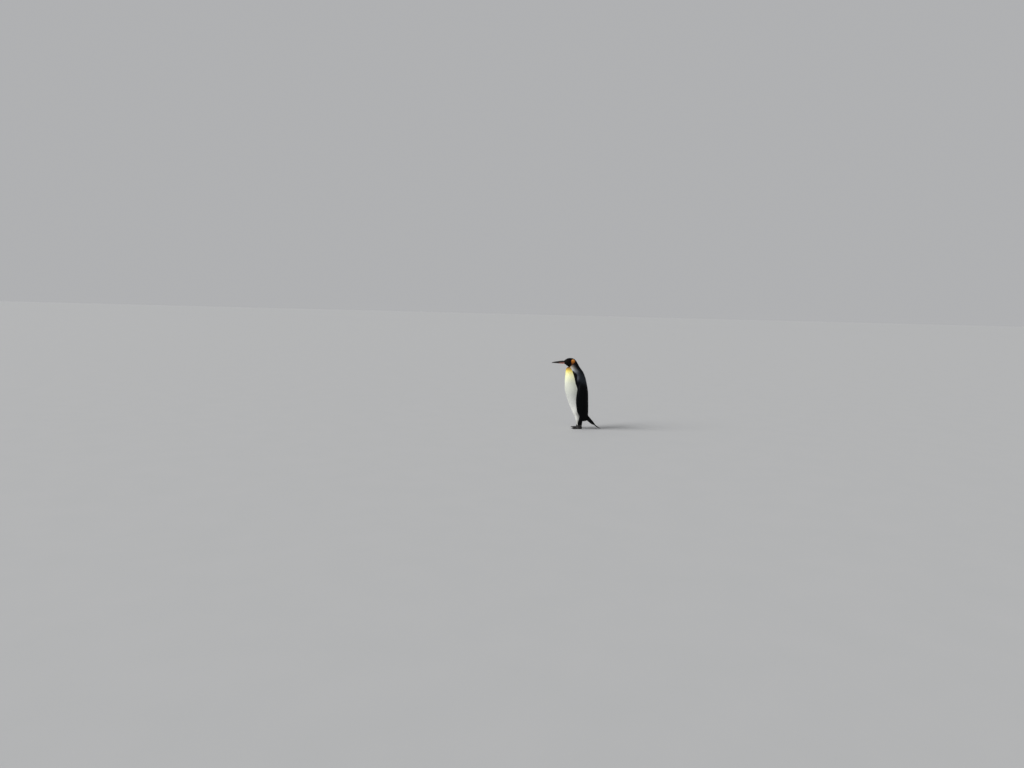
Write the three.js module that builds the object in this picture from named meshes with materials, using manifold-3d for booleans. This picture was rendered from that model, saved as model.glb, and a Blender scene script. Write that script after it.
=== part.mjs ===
// A king penguin standing at rest, life size, as a museum figure: closed solids of its body parts.
// Millimetres, +Z up, bill towards -Y, the bird's left side towards +X. The origin is on the floor, at the
// middle of the figure's length and width. Each solid is the outer surface of the plumage, bill, eye or foot.
import * as THREE from "three";
import { mergeVertices } from "three/addons/utils/BufferGeometryUtils.js";
import Module from "manifold-3d";

const wasm = await Module();
wasm.setup();

// ---- Driving dimensions ----
const GAP = 0.3; // clearance between neighbouring solids
const FAR = 2000; // size of the blocks that cut with one face
const EYE_RADIUS = 9.5;
const EYE_CENTRE = [25.5, -104, 806]; // of the left eye
const FACE_Y = -147; // the feather line, where the bill starts
const PLATE_TIP_Y = -212; // front end of the coloured plate on the lower mandible
const PLATE_DEPTH = 1.6; // thickness of that plate
const ANKLE_Z = 40; // the feathered leg ends here and the bare foot starts
const LEG_X = 53; // the legs stand this far from the middle plane
const TOE_ROOT_Y = 40; // where the toes part
const TOE_OUT = 8; // degrees that each foot turns outwards
const STRIDE = { left: 0, right: -12 }; // how far each foot stands ahead (-) of the left one

// ---- Finishes ----
const finish = (color, roughness) => new THREE.MeshStandardMaterial({ color, roughness, metalness: 0 });
const HEAD_BLACK = finish(0x14110f, 0.6);
const NECK_GREY = finish(0x6d7278, 0.6);
const BODY_PALE = finish(0xe6e4d8, 0.7);
const BACK_DARK = finish(0x17181c, 0.6);
const BILL_BLACK = finish(0x1a1817, 0.35);
const BILL_ROSE = finish(0xb8584a, 0.35);
const EYE_BROWN = finish(0x2a1a10, 0.1);
const FOOT_BLACK = finish(0x1b1a19, 0.7);
const CLAW_HORN = finish(0x2a2622, 0.4);

// ---- Tools for solids ----

// A closed geometry as a manifold-3d solid that faces outwards.
function solid(geometry) {
  const bare = geometry.clone();
  bare.deleteAttribute("normal");
  bare.deleteAttribute("uv");
  const merged = mergeVertices(bare, 1e-4);
  const build = (triVerts) =>
    new wasm.Manifold(
      new wasm.Mesh({ numProp: 3, vertProperties: merged.attributes.position.array, triVerts }),
    );
  const corners = new Uint32Array(merged.index.array);
  const made = build(corners);
  return made.volume() > 0 ? made : build(corners.reverse());
}

// A manifold-3d solid as a named mesh.
function meshOf(name, shape, material) {
  const { vertProperties, triVerts, numProp, numVert } = shape.getMesh();
  const positions = new Float32Array(numVert * 3);
  for (let i = 0; i < numVert; i++)
    positions.set(vertProperties.subarray(i * numProp, i * numProp + 3), i * 3);
  const geometry = new THREE.BufferGeometry()
    .setAttribute("position", new THREE.BufferAttribute(positions, 3))
    .setIndex(new THREE.BufferAttribute(triVerts, 1));
  geometry.computeVertexNormals();
  const mesh = new THREE.Mesh(geometry, material);
  mesh.name = name;
  return mesh;
}

// A closed skin over rings of points, with a fan of triangles over each end.
function loft(rings) {
  const sides = rings[0].length;
  const middle = (ring) =>
    ring.reduce((sum, p) => sum.add(p), new THREE.Vector3()).divideScalar(sides);
  const points = [...rings.flat(), middle(rings[0]), middle(rings.at(-1))];
  const start = points.length - 2;
  const last = sides * (rings.length - 1);
  const faces = [];
  for (let s = 0; s < sides; s++) {
    const next = (s + 1) % sides;
    for (let r = 0; r < last; r += sides)
      faces.push(r + s, r + next, r + sides + s, r + next, r + sides + next, r + sides + s);
    faces.push(start, next, s, start + 1, last + s, last + next);
  }
  return new THREE.BufferGeometry().setFromPoints(points).setIndex(faces);
}

// A ring round a centre: power 2 is an ellipse and more is squarer, and egg makes the far end narrower.
function ring(centre, along, across, sides, power = 2, egg = 0) {
  const bent = (x) => Math.sign(x) * Math.abs(x) ** (2 / power);
  return Array.from({ length: sides }, (_, i) => {
    const turn = (2 * Math.PI * i) / sides;
    const c = bent(Math.cos(turn));
    const s = bent(Math.sin(turn)) * (1 - egg * c);
    return centre.clone().addScaledVector(along, c).addScaledVector(across, s);
  });
}

// A smooth run through rows of numbers: returns the row at a share of the way along.
function smoothRows(rows) {
  const width = rows[0].length;
  const curves = [];
  for (let k = 0; k < width; k += 3) {
    const points = rows.map((row) => new THREE.Vector3(row[k], row[k + 1] ?? 0, row[k + 2] ?? 0));
    curves.push(new THREE.CatmullRomCurve3(points, false, "catmullrom", 0.5));
  }
  return (share) => curves.flatMap((curve) => curve.getPoint(share).toArray()).slice(0, width);
}

// Shares of the way along rows of (y, z) pairs, so that no step between rings is much over a length.
function evenShares(rows, pairs, longest) {
  const spans = rows.slice(1).map((row, i) => {
    const moves = pairs.map((k) => Math.hypot(row[k] - rows[i][k], row[k + 1] - rows[i][k + 1]));
    return Math.max(1, Math.round(Math.max(...moves) / longest));
  });
  const within = (count, i) =>
    Array.from({ length: count }, (_, k) => (i + (k + 1) / count) / spans.length);
  return [0, ...spans.flatMap(within)];
}

// A block that fills the side of a plane that its normal points to.
function halfSpace(point, normal) {
  const block = new THREE.BoxGeometry(FAR, FAR, FAR).translate(0, 0, FAR / 2);
  const turn = new THREE.Quaternion().setFromUnitVectors(
    new THREE.Vector3(0, 0, 1),
    new THREE.Vector3(...normal).normalize(),
  );
  return solid(block.applyQuaternion(turn).translate(...point));
}

// Cuts a shape in two with a slot of GAP along a plane: [the part that the normal points to, the rest].
function part(shape, point, normal) {
  const unit = new THREE.Vector3(...normal).normalize();
  const shifted = (by) => new THREE.Vector3(...point).addScaledVector(unit, by).toArray();
  const ahead = shape.intersect(halfSpace(shifted(GAP / 2), normal));
  const behind = shape.intersect(halfSpace(shifted(-GAP / 2), normal.map((n) => -n)));
  return [ahead, behind];
}

const FLOOR = halfSpace([0, 0, 0], [0, 0, 1]);
const mirrored = (shape) => shape.mirror([1, 0, 0]);

// ---- Trunk, neck and head ----

// Stations from the vent up to the feather line. Each is a cross-section: its front point (y, z), its back
// point (y, z) and its half width. The sections turn from level in the trunk to upright at the face.
const BODY_STATIONS = [
  [72, 86, 112, 86, 16], // underside between the legs
  [38, 96, 138, 96, 48], // vent
  [2, 127, 153, 124, 75], // lower belly and rump
  [-41, 205, 157, 205, 97],
  [-95, 331, 153, 331, 114], // widest girth
  [-131, 452, 146, 452, 115],
  [-137, 577, 120, 577, 100], // crop
  [-133, 640, 100, 640, 87], // shoulders
  [-130, 686, 76, 690, 72],
  [-126, 712, 57, 713, 61], // top of the breast
  [-113, 730, 36, 741, 51],
  [-91, 739, 15, 778, 44.5], // throat and nape
  [-103, 749, -4, 808, 40],
  [-121, 758, -27, 830, 37], // hind crown and chin
  [-132, 764, -68, 842, 35], // crown, eye and cheek
  [-141, 769, -112, 836, 28],
  [FACE_Y, 773, FACE_Y, 815, 17], // feather line
];
const BODY_SIDES = 28;
const BODY_POWER = 2.15;
const RING_STEP = 26;

// The whole body as one skin, grown outwards by a margin.
function body(margin = 0) {
  const row = smoothRows(BODY_STATIONS);
  const rings = evenShares(BODY_STATIONS, [0, 2], RING_STEP).map((share) => {
    const [frontY, frontZ, backY, backZ, half] = row(share);
    const front = new THREE.Vector3(0, frontY, frontZ);
    const back = new THREE.Vector3(0, backY, backZ);
    const along = back.clone().sub(front).multiplyScalar(0.5);
    along.setLength(along.length() + margin);
    const centre = front.add(back).multiplyScalar(0.5);
    return ring(centre, along, new THREE.Vector3(half + margin, 0, 0), BODY_SIDES, BODY_POWER, 0.06);
  });
  return solid(loft(rings));
}

// Rows of: centre y, centre z, half thickness, half width.
const TAIL_STATIONS = [
  [108, 158, 36, 52],
  [146, 129, 28, 49],
  [186, 92.5, 21, 44],
  [226, 59, 15, 39],
  [262, 30.5, 9.5, 32],
  [299, 4.2, 3.4, 20],
];
const TAIL_RINGS = 8;

// The tail, a wedge of stiff feathers that slopes to the floor and props the bird there.
function tail(margin = 0) {
  const row = smoothRows(TAIL_STATIONS);
  const rings = Array.from({ length: TAIL_RINGS + 1 }, (_, i) => {
    const share = i / TAIL_RINGS;
    const [y, z, thick, wide] = row(share);
    const [aheadY, aheadZ] = row(Math.min(1, share + 0.01));
    const [behindY, behindZ] = row(Math.max(0, share - 0.01));
    const up = new THREE.Vector3(0, behindZ - aheadZ, aheadY - behindY).setLength(thick + margin);
    return ring(new THREE.Vector3(0, y, z), up, new THREE.Vector3(wide + margin, 0, 0), 16, 2.4);
  });
  return solid(loft(rings)).intersect(FLOOR);
}

// Planes that part the head from the neck through the throat, the neck from the trunk, and the tail.
const HEAD_CUT = { point: [0, -91, 740.6], normal: [0, -0.38, 0.925] };
const NECK_CUT = { point: [0, 0, 688], normal: [0, 0, 1] };
const TAIL_CUT = { point: [0, 150, 126], normal: [0, 0.72, -0.69] };

// ---- Bill ----

// Rows of: y, top edge, parting line of the mandibles, bottom edge, half width.
const BILL_STATIONS = [
  [FACE_Y - GAP, 812, 792.5, 773.5, 14],
  [-178, 807.5, 791.5, 774, 11.2],
  [-206, 803, 790, 777.5, 9],
  [-238, 798, 787.8, 780, 7],
  [-266, 792.5, 784, 780.2, 5],
  [-291, 786.4, 779.6, 779, 3.3],
  [-301, 780.8, 776.6, 776.1, 1.4],
];
const BILL_STEP = 11;
const BILL_SIDES = 14;
const billRows = evenShares(BILL_STATIONS, [0], BILL_STEP).map(smoothRows(BILL_STATIONS));

// Both mandibles in one, grown by a margin.
function bill(margin = 0) {
  const rings = billRows.map(([y, top, , bottom, half]) => {
    const centre = new THREE.Vector3(0, y, (top + bottom) / 2);
    const up = new THREE.Vector3(0, 0, Math.max(0.3, (top - bottom) / 2 + margin));
    return ring(centre, up, new THREE.Vector3(Math.max(0.3, half + margin), 0, 0), BILL_SIDES, 2.2);
  });
  return solid(loft(rings));
}

// Extrudes an outline drawn in (y, z) from one x to another.
function acrossHead(outline, fromX, toX) {
  const upright = new THREE.Matrix4().makeBasis(
    new THREE.Vector3(0, 1, 0),
    new THREE.Vector3(0, 0, 1),
    new THREE.Vector3(1, 0, 0),
  );
  const slab = new THREE.ExtrudeGeometry(outline, {
    depth: toX - fromX,
    bevelEnabled: false,
    curveSegments: 5,
  });
  return solid(slab.applyMatrix4(upright).translate(fromX, 0, 0));
}

// A slab wider than the head that fills one side of the bill's parting line, above (1) or below (-1) it.
function besideParting(side) {
  const reach = 60;
  const line = billRows.map(([y, , parting]) => new THREE.Vector2(y, parting + (side * GAP) / 2));
  const [base, tip] = [line[0], line.at(-1)];
  line.push(new THREE.Vector2(tip.x - reach, tip.y));
  line.push(new THREE.Vector2(tip.x - reach, tip.y + side * reach));
  line.push(new THREE.Vector2(base.x + reach, tip.y + side * reach));
  line.push(new THREE.Vector2(base.x + reach, base.y));
  return acrossHead(new THREE.Shape(line), -reach, reach);
}

// Heights of the coloured plate's leaf-shaped outline, where it meets the feathers and at its front end.
const PLATE_TOP = 790.4;
const PLATE_BOTTOM = 775.2;
const PLATE_TIP_Z = 784.2;

function plateOutline(margin) {
  const outline = new THREE.Shape();
  const belly = PLATE_TIP_Y + 22;
  outline.moveTo(FACE_Y + 2, PLATE_TOP + margin);
  outline.quadraticCurveTo(belly, PLATE_TOP + margin, PLATE_TIP_Y - margin, PLATE_TIP_Z);
  outline.quadraticCurveTo(belly, PLATE_BOTTOM - margin, FACE_Y + 2, PLATE_BOTTOM - margin);
  outline.closePath();
  return outline;
}

function billParts() {
  const whole = bill();
  const upper = whole.intersect(besideParting(1));
  const lowerWhole = whole.intersect(besideParting(-1));
  const zone = acrossHead(plateOutline(0), 1, 40);
  const seat = acrossHead(plateOutline(GAP), 1 - GAP, 40).subtract(bill(-PLATE_DEPTH - GAP));
  const plate = lowerWhole.intersect(zone).subtract(bill(-PLATE_DEPTH));
  const lower = lowerWhole.subtract(seat).subtract(mirrored(seat));
  return { upper, lower, plate };
}

// ---- Flippers ----

// Rows down the left flipper: centre x, y, z, half chord, half thickness.
const FLIPPER_STATIONS = [
  [47, 56, 596, 22, 14],
  [87, 66, 534, 31, 12],
  [109, 68, 474, 37, 9],
  [121, 62, 404, 41, 7.2],
  [126, 59, 334, 40, 5.6],
  [126, 67, 274, 32, 4.2],
  [124, 80, 233, 21, 2.8],
];
const FLIPPER_RINGS = 15;
const FLIPPER_TIP = 0.84; // the share of the length where the rounding of the tip starts
const CHORD_TURN = THREE.MathUtils.degToRad(17); // the trailing edge lies this far in, along the flank

function flipper() {
  const row = smoothRows(FLIPPER_STATIONS);
  const chordWay = new THREE.Vector3(-Math.sin(CHORD_TURN), Math.cos(CHORD_TURN), 0);
  const rings = Array.from({ length: FLIPPER_RINGS + 1 }, (_, i) => {
    const share = 1 - (1 - i / FLIPPER_RINGS) ** 1.4;
    const [x, y, z, chord, thick] = row(share);
    const past = Math.max(0, (share - FLIPPER_TIP) / (1 - FLIPPER_TIP));
    const round = Math.sqrt(Math.max(0.01, 1 - past ** 2.4));
    const [x2, y2, z2] = row(Math.max(0.01, share) - 0.01);
    const [x3, y3, z3] = row(Math.max(0.01, share));
    const down = new THREE.Vector3(x3 - x2, y3 - y2, z3 - z2);
    const out = new THREE.Vector3().crossVectors(down, chordWay).setLength(thick);
    const along = chordWay.clone().multiplyScalar(chord * round);
    return ring(new THREE.Vector3(x, y, z), along, out, 14, 2, 0.35);
  });
  return solid(loft(rings));
}

// ---- Legs and feet ----

// Rows down the leg: z, front y, back y, half width, x. The last rows are the bare ankle and heel pad.
const LEG_STATIONS = [
  [205, -2, 124, 32, LEG_X - 9],
  [150, 0, 106, 33, LEG_X - 6],
  [110, 9, 94, 34, LEG_X - 3],
  [75, 20, 88, 28.5, LEG_X - 1],
  [ANKLE_Z, 30, 84, 21, LEG_X],
  [22, 25, 86, 19.5, LEG_X],
  [8, 15, 88, 20, LEG_X],
  [-6, 14, 85, 19, LEG_X],
];
const LEG_RINGS = 12;
const LEG_SIDES = 16;

function leg(stride) {
  const row = smoothRows(LEG_STATIONS);
  const [top] = LEG_STATIONS[0];
  const rings = Array.from({ length: LEG_RINGS + 1 }, (_, i) => {
    const [z, frontY, backY, half, x] = row(i / LEG_RINGS);
    const lean = stride * (1 - Math.max(0, z) / top);
    const centre = new THREE.Vector3(x, (frontY + backY) / 2 + lean, z);
    const along = new THREE.Vector3(0, (backY - frontY) / 2, 0);
    return ring(centre, along, new THREE.Vector3(half, 0, 0), LEG_SIDES, 2.2, 0.12);
  });
  return solid(loft(rings));
}

// Toes of the left foot: angle outwards from the foot's own line in degrees, length, root and tip radius.
const TOES = {
  inner: { angle: -29, length: 55, root: 9.8, tip: 6.6 },
  middle: { angle: 0, length: 65, root: 10.4, tip: 7 },
  outer: { angle: 27, length: 58, root: 9.8, tip: 6.6 },
};
const HALLUX = { angle: -62, length: 21, root: 5.4, tip: 3.8 };
const HALLUX_BACK = 14; // it grows this far behind the place where the toes part
const CLAW_LENGTH = 22;
const HALLUX_CLAW_LENGTH = 10;
const WEB = { bottom: 0.6, thick: 3.6, reach: 0.86, hollow: 0.62 };

// The foot's own line turned by an angle, as a unit vector on the floor, and the way across it.
function toeFrame(angle) {
  const turn = THREE.MathUtils.degToRad(angle + TOE_OUT);
  const way = new THREE.Vector3(Math.sin(turn), -Math.cos(turn), 0);
  return { way, side: new THREE.Vector3(-way.y, way.x, 0) };
}

// One toe with swollen joints, from the point where the toes part.
function toe({ angle, length, root, tip }, from) {
  const { way, side } = toeFrame(angle);
  const steps = 7;
  const rings = Array.from({ length: steps + 1 }, (_, i) => {
    const share = i / steps;
    const joints = 1 + 0.07 * Math.cos(share * 3 * 2 * Math.PI);
    const ends = Math.sqrt(Math.min(1, 0.12 + 8 * (1 - share)));
    const radius = THREE.MathUtils.lerp(root, tip, share) * joints * ends;
    const height = radius * 0.86;
    const centre = from.clone().addScaledVector(way, share * length).setZ(height);
    const upwards = new THREE.Vector3(0, 0, height + WEB.bottom);
    return ring(centre, upwards, side.clone().multiplyScalar(radius), 8);
  });
  return solid(loft(rings));
}

// A curved claw out of the end of a toe, grown by a margin.
function claw({ angle, length, tip }, from, clawLength, margin = 0) {
  const { way, side } = toeFrame(angle);
  const buried = 0.3;
  const steps = 5;
  const rings = Array.from({ length: steps + 1 }, (_, i) => {
    const share = i / steps;
    const radius = Math.max(0.5, tip * 0.62 * (1 - share) ** 0.7) + margin;
    const reach = length + (share - buried) * clawLength;
    const height = THREE.MathUtils.lerp(tip * 1.05, 1.6, share ** 1.6);
    const centre = from.clone().addScaledVector(way, reach).setZ(height);
    return ring(centre, new THREE.Vector3(0, 0, radius), side.clone().multiplyScalar(radius * 0.8), 8);
  });
  return solid(loft(rings));
}

// The skin between two toes, with a hollow front edge.
function web(first, second, from) {
  const along = ({ angle, length }, share) =>
    from.clone().addScaledVector(toeFrame(angle).way, share * length);
  const ends = [along(first, WEB.reach), along(second, WEB.reach)];
  const hollow = along(first, WEB.hollow).add(along(second, WEB.hollow)).multiplyScalar(0.5);
  const outline = new THREE.Shape();
  outline.moveTo(from.x, from.y + 6);
  outline.lineTo(ends[0].x, ends[0].y);
  outline.quadraticCurveTo(hollow.x, hollow.y, ends[1].x, ends[1].y);
  outline.closePath();
  const skin = new THREE.ExtrudeGeometry(outline, {
    depth: WEB.thick,
    bevelEnabled: false,
    curveSegments: 4,
  });
  return solid(skin.translate(0, 0, WEB.bottom));
}

// The feathered leg, the bare foot and its claws, for one side before any mirroring.
function legParts(stride, bodyGrown) {
  const toeRoot = new THREE.Vector3(LEG_X, TOE_ROOT_Y + stride, 0);
  const halluxRoot = toeRoot.clone().add(new THREE.Vector3(0, HALLUX_BACK, 0));
  const [feathered, ankle] = part(leg(stride), [0, 0, ANKLE_Z], [0, 0, 1]);
  const toes = Object.values(TOES);
  const claws = toes.map((one) => claw(one, toeRoot, CLAW_LENGTH));
  claws.push(claw(HALLUX, halluxRoot, HALLUX_CLAW_LENGTH));
  let foot = ankle.add(toe(HALLUX, halluxRoot));
  toes.forEach((one) => (foot = foot.add(toe(one, toeRoot))));
  foot = foot.add(web(TOES.inner, TOES.middle, toeRoot));
  foot = foot.add(web(TOES.middle, TOES.outer, toeRoot));
  toes.forEach((one) => (foot = foot.subtract(claw(one, toeRoot, CLAW_LENGTH, GAP))));
  foot = foot.subtract(claw(HALLUX, halluxRoot, HALLUX_CLAW_LENGTH, GAP)).intersect(FLOOR);
  return { leg: feathered.subtract(bodyGrown), foot, claws };
}

// ---- Assembly ----

const penguin = new THREE.Group();
const place = (name, shape, material) => penguin.add(meshOf(name, shape, material));

const bodyGrown = body(GAP).add(tail(GAP));
const [tailPart, frontBody] = part(body().add(tail()), TAIL_CUT.point, TAIL_CUT.normal);
const [upperBody, trunk] = part(frontBody, NECK_CUT.point, NECK_CUT.normal);
const [headWhole, neck] = part(upperBody, HEAD_CUT.point, HEAD_CUT.normal);

const eyeball = solid(new THREE.SphereGeometry(EYE_RADIUS, 12, 9).translate(...EYE_CENTRE));
const socket = solid(new THREE.SphereGeometry(EYE_RADIUS + GAP, 12, 9).translate(...EYE_CENTRE));
place("head", headWhole.subtract(socket).subtract(mirrored(socket)), HEAD_BLACK);
place("eye_left", eyeball, EYE_BROWN);
place("eye_right", mirrored(eyeball), EYE_BROWN);
place("neck", neck, NECK_GREY);
place("trunk", trunk, BODY_PALE);
place("tail", tailPart, BACK_DARK);

const { upper, lower, plate } = billParts();
place("bill_upper", upper, BILL_BLACK);
place("bill_lower", lower, BILL_BLACK);
place("bill_plate_left", plate, BILL_ROSE);
place("bill_plate_right", mirrored(plate), BILL_ROSE);

const wing = flipper().subtract(bodyGrown);
place("flipper_left", wing, BACK_DARK);
place("flipper_right", mirrored(wing), BACK_DARK);

for (const side of ["left", "right"]) {
  const turned = side === "left" ? (shape) => shape : mirrored;
  const made = legParts(STRIDE[side], bodyGrown);
  place(`leg_${side}`, turned(made.leg), BODY_PALE);
  place(`foot_${side}`, turned(made.foot), FOOT_BLACK);
  ["inner", "middle", "outer", "hallux"].forEach((which, i) =>
    place(`claw_${which}_${side}`, turned(made.claws[i]), CLAW_HORN),
  );
}

export default penguin;
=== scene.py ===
"""A king penguin as a still, life-size model, standing on its own feet with its tail down."""

import math

import bmesh
import bpy
import numpy as np
from mathutils import Matrix, Vector, kdtree
from mathutils.bvhtree import BVHTree


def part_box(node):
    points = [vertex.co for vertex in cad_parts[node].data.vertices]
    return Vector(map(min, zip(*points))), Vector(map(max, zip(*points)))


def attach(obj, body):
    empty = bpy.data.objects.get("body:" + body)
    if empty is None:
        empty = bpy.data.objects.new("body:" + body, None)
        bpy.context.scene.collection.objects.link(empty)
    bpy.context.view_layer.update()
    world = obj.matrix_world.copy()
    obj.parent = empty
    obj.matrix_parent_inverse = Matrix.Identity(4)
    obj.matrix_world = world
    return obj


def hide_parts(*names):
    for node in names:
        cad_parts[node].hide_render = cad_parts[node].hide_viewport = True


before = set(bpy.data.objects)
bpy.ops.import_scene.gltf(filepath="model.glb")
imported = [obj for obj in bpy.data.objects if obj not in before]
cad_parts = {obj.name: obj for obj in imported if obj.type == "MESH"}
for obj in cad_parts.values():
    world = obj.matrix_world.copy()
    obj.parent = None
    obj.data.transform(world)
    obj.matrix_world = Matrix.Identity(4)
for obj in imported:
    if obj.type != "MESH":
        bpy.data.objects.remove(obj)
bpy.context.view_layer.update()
rng = np.random.default_rng(7)

# ---- Hide ----
# One hide runs from the rim of the bill to the toes, so no seam shows between the parts of flesh.
# It is bare and scaly on the feet, bare on the eyelids, and everywhere else it carries the plumage.
# It lies inside the outline by the depth of the coat at each place.
flesh = ["head", "neck", "trunk", "tail"]
for limb in ("flipper", "leg", "foot"):
    flesh += [limb + "_left", limb + "_right"]
HEAD, TAIL = flesh.index("head"), flesh.index("tail")
FLIPPERS, LEGS, FEET = (4, 5), (6, 7), (8, 9)

hide_voxel = 0.0019
form_smoothing = 150  # passes that take the flats out of the broad parts
grain_smoothing = 4  # passes that take out the steps of the voxels
faces_kept = 0.20  # share of the faces that stay where the form is broad
form_share = {"head": 0.3, "neck": 1, "trunk": 1, "tail": 0.12, "flipper": 0.15, "leg": 0.4, "foot": 0.04}
coat_on_face = 0.0008
coat_on_body = 0.0020
coat_on_flipper = 0.0010
coat_on_tail = 0.0024
coat_on_leg = 0.0024
crown_rise = 0.0028  # how far the hide stands out again under the crown
throat_rise = 0.0060
groin_fold = 0.0050  # how far it falls in above the thighs
feather_line = 0.056  # height on the leg where the feathers end

bill_low, bill_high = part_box("bill_upper")
bill_root = np.array([0, bill_high.y, (bill_low.z + 2 * bill_high.z) / 3 - 0.006])


def ease(x, start, end):
    """Goes smoothly from 0 at the start to 1 at the end, which may be the lower of the two."""
    share = np.clip((x - start) / (end - start), 0, 1)
    return share * share * (3 - 2 * share)


def bell(x, middle, width):
    """A soft bump that is 1 at the middle."""
    return np.exp(-(((x - middle) / width) ** 2))


def from_bill(places):
    return np.linalg.norm(places - bill_root, axis=1)


def only(piece):
    """Makes the piece the one that is selected and active."""
    bpy.ops.object.select_all(action="DESELECT")
    piece.select_set(True)
    bpy.context.view_layer.objects.active = piece


def add_piece(name, mesh):
    piece = bpy.data.objects.new(name, mesh)
    bpy.context.scene.collection.objects.link(piece)
    only(piece)
    return piece


def apply_modifier(piece, kind, **settings):
    only(piece)
    modifier = piece.modifiers.new(kind.lower(), kind)
    for setting, value in settings.items():
        setattr(modifier, setting, value)
    bpy.ops.object.modifier_apply(modifier=modifier.name)


def read(items, label, width=1, kind=np.int32):
    """One property of all the items of a mesh, in rows where it holds several numbers."""
    flat = np.empty(len(items) * width, kind)
    items.foreach_get(label, flat)
    return flat.reshape(-1, width) if width > 1 else flat


def places_of(mesh):
    return read(mesh.vertices, "co", 3, np.float32).astype(float)


def normals_of(mesh):
    return read(mesh.vertex_normals, "vector", 3, np.float32).astype(float)


def put(mesh, places):
    mesh.vertices.foreach_set("co", places.astype(np.float32).ravel())
    mesh.update()


def edit_all(piece, step, **settings):
    """Runs one step of edit mode on all of the piece."""
    only(piece)
    bpy.ops.object.mode_set(mode="EDIT")
    bpy.ops.mesh.select_all(action="SELECT")
    step(**settings)
    bpy.ops.object.mode_set(mode="OBJECT")


def face_outwards(piece):
    edit_all(piece, bpy.ops.mesh.normals_make_consistent, inside=False)


def unit(vectors):
    return vectors / np.maximum(np.linalg.norm(vectors, axis=1, keepdims=True), 1e-9)


whole = bmesh.new()
node_of_face = []
for number, name in enumerate(flesh):
    whole.from_mesh(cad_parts[name].data)
    node_of_face += [number] * (len(whole.faces) - len(node_of_face))
node_of_face = np.array(node_of_face)
nearest_flesh = BVHTree.FromBMesh(whole)
hide_mesh = bpy.data.meshes.new("hide")
whole.to_mesh(hide_mesh)
whole.free()
hide = add_piece("hide", hide_mesh)
edit_all(hide, bpy.ops.mesh.remove_doubles, threshold=1e-5)
apply_modifier(hide, "REMESH", mode="VOXEL", voxel_size=hide_voxel)


def parts_at(places):
    """The number of the part of flesh that is nearest to each place."""
    faces = [nearest_flesh.find_nearest(place)[2] for place in places.tolist()]
    return node_of_face[np.array(faces)]


def group_on(piece, name, weights):
    group = piece.vertex_groups.new(name=name)
    for weight in np.unique(weights):
        group.add(np.nonzero(weights == weight)[0].tolist(), float(weight), "REPLACE")
    return name


def is_bare(places, part):
    """Whether there is bare skin of the foot."""
    return np.isin(part, FEET) | (np.isin(part, LEGS) & (places[:, 2] < feather_line + 0.004))


part = parts_at(places_of(hide.data))
shares = np.array([form_share[name.split("_")[0]] for name in flesh])
form = group_on(hide, "form", shares[part])
apply_modifier(hide, "SMOOTH", factor=0.5, iterations=form_smoothing, vertex_group=form)
apply_modifier(hide, "SMOOTH", factor=0.5, iterations=grain_smoothing)
kept_fine = (part == HEAD) | is_bare(places_of(hide.data), part)
coarse = group_on(hide, "coarse", np.where(kept_fine, 0.0, 1.0))
apply_modifier(hide, "DECIMATE", ratio=faces_kept, vertex_group=coarse, vertex_group_factor=1)

eyes = {}
for side, sign in (("left", 1), ("right", -1)):
    low, high = (np.array(corner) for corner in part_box("eye_" + side))
    looks = unit(np.array([[sign, -0.20, 0.06]]))[0]
    eyes[side] = {"centre": (low + high) / 2, "radius": (high[2] - low[2]) / 2 + 0.0001, "looks": looks}
lid_length, lid_height = 0.0050, 0.0041
lid_thick = 0.0009
lid_slant = 0.18  # the corner towards the bill sits lower


def beside_eye(places, eye):
    """How far each place lies from the middle of the eye's opening, where 1 is the lid's rim."""
    offset = places - eye["centre"]
    forward = unit(np.cross([[0, 0, 1]], eye["looks"][None]))[0]
    upward = np.cross(eye["looks"], forward)
    tilt = lid_slant * np.sign(eye["looks"][0])
    along, across = offset @ forward, offset @ upward
    share = np.hypot((along + tilt * across) / lid_length, across / lid_height)
    return np.where(offset @ eye["looks"] > 0, share, 99.0)


def beside_eyes(places):
    return np.minimum(*(beside_eye(places, eye) for eye in eyes.values()))


def subdivide_where(piece, chosen):
    """Splits the faces in four where all their corners are chosen."""
    mesh = piece.data
    at_corner = chosen[read(mesh.loops, "vertex_index")].astype(int)
    whole_face = np.minimum.reduceat(at_corner, read(mesh.polygons, "loop_start")).astype(bool)
    only(piece)
    bpy.ops.object.mode_set(mode="EDIT")
    bpy.ops.mesh.select_mode(type="FACE")
    bpy.ops.mesh.select_all(action="DESELECT")
    bpy.ops.object.mode_set(mode="OBJECT")
    mesh.polygons.foreach_set("select", whole_face)
    bpy.ops.object.mode_set(mode="EDIT")
    bpy.ops.mesh.subdivide(number_cuts=1, smoothness=0)
    bpy.ops.object.mode_set(mode="OBJECT")


for reach in (3.4, 2.6):
    subdivide_where(hide, beside_eyes(places_of(hide.data)) < reach)
places = places_of(hide.data)
subdivide_where(hide, is_bare(places, parts_at(places)))


def coat_depth(places, part):
    """How deep the coat is: thinnest on the face, and none on the feet."""
    depth = coat_on_face + (coat_on_body - coat_on_face) * ease(from_bill(places), 0.025, 0.17)
    depth[np.isin(part, FLIPPERS)] = coat_on_flipper
    depth[part == TAIL] = coat_on_tail
    depth[np.isin(part, LEGS)] = coat_on_leg
    depth[np.isin(part, FEET)] = 0
    return depth


places = places_of(hide.data)
part = parts_at(places)
_, y, z = places.T
inward = coat_depth(places, part) * ease(z, feather_line - 0.006, feather_line + 0.03)
inward -= crown_rise * ease(z, 0.810, 0.840) * (part == HEAD)
inward -= throat_rise * bell(y, -0.106, 0.024) * bell(z, 0.757, 0.020) * (y < -0.05)
inward += groin_fold * bell(z, 0.205, 0.030) * ease(y, 0.0, -0.02)
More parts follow.
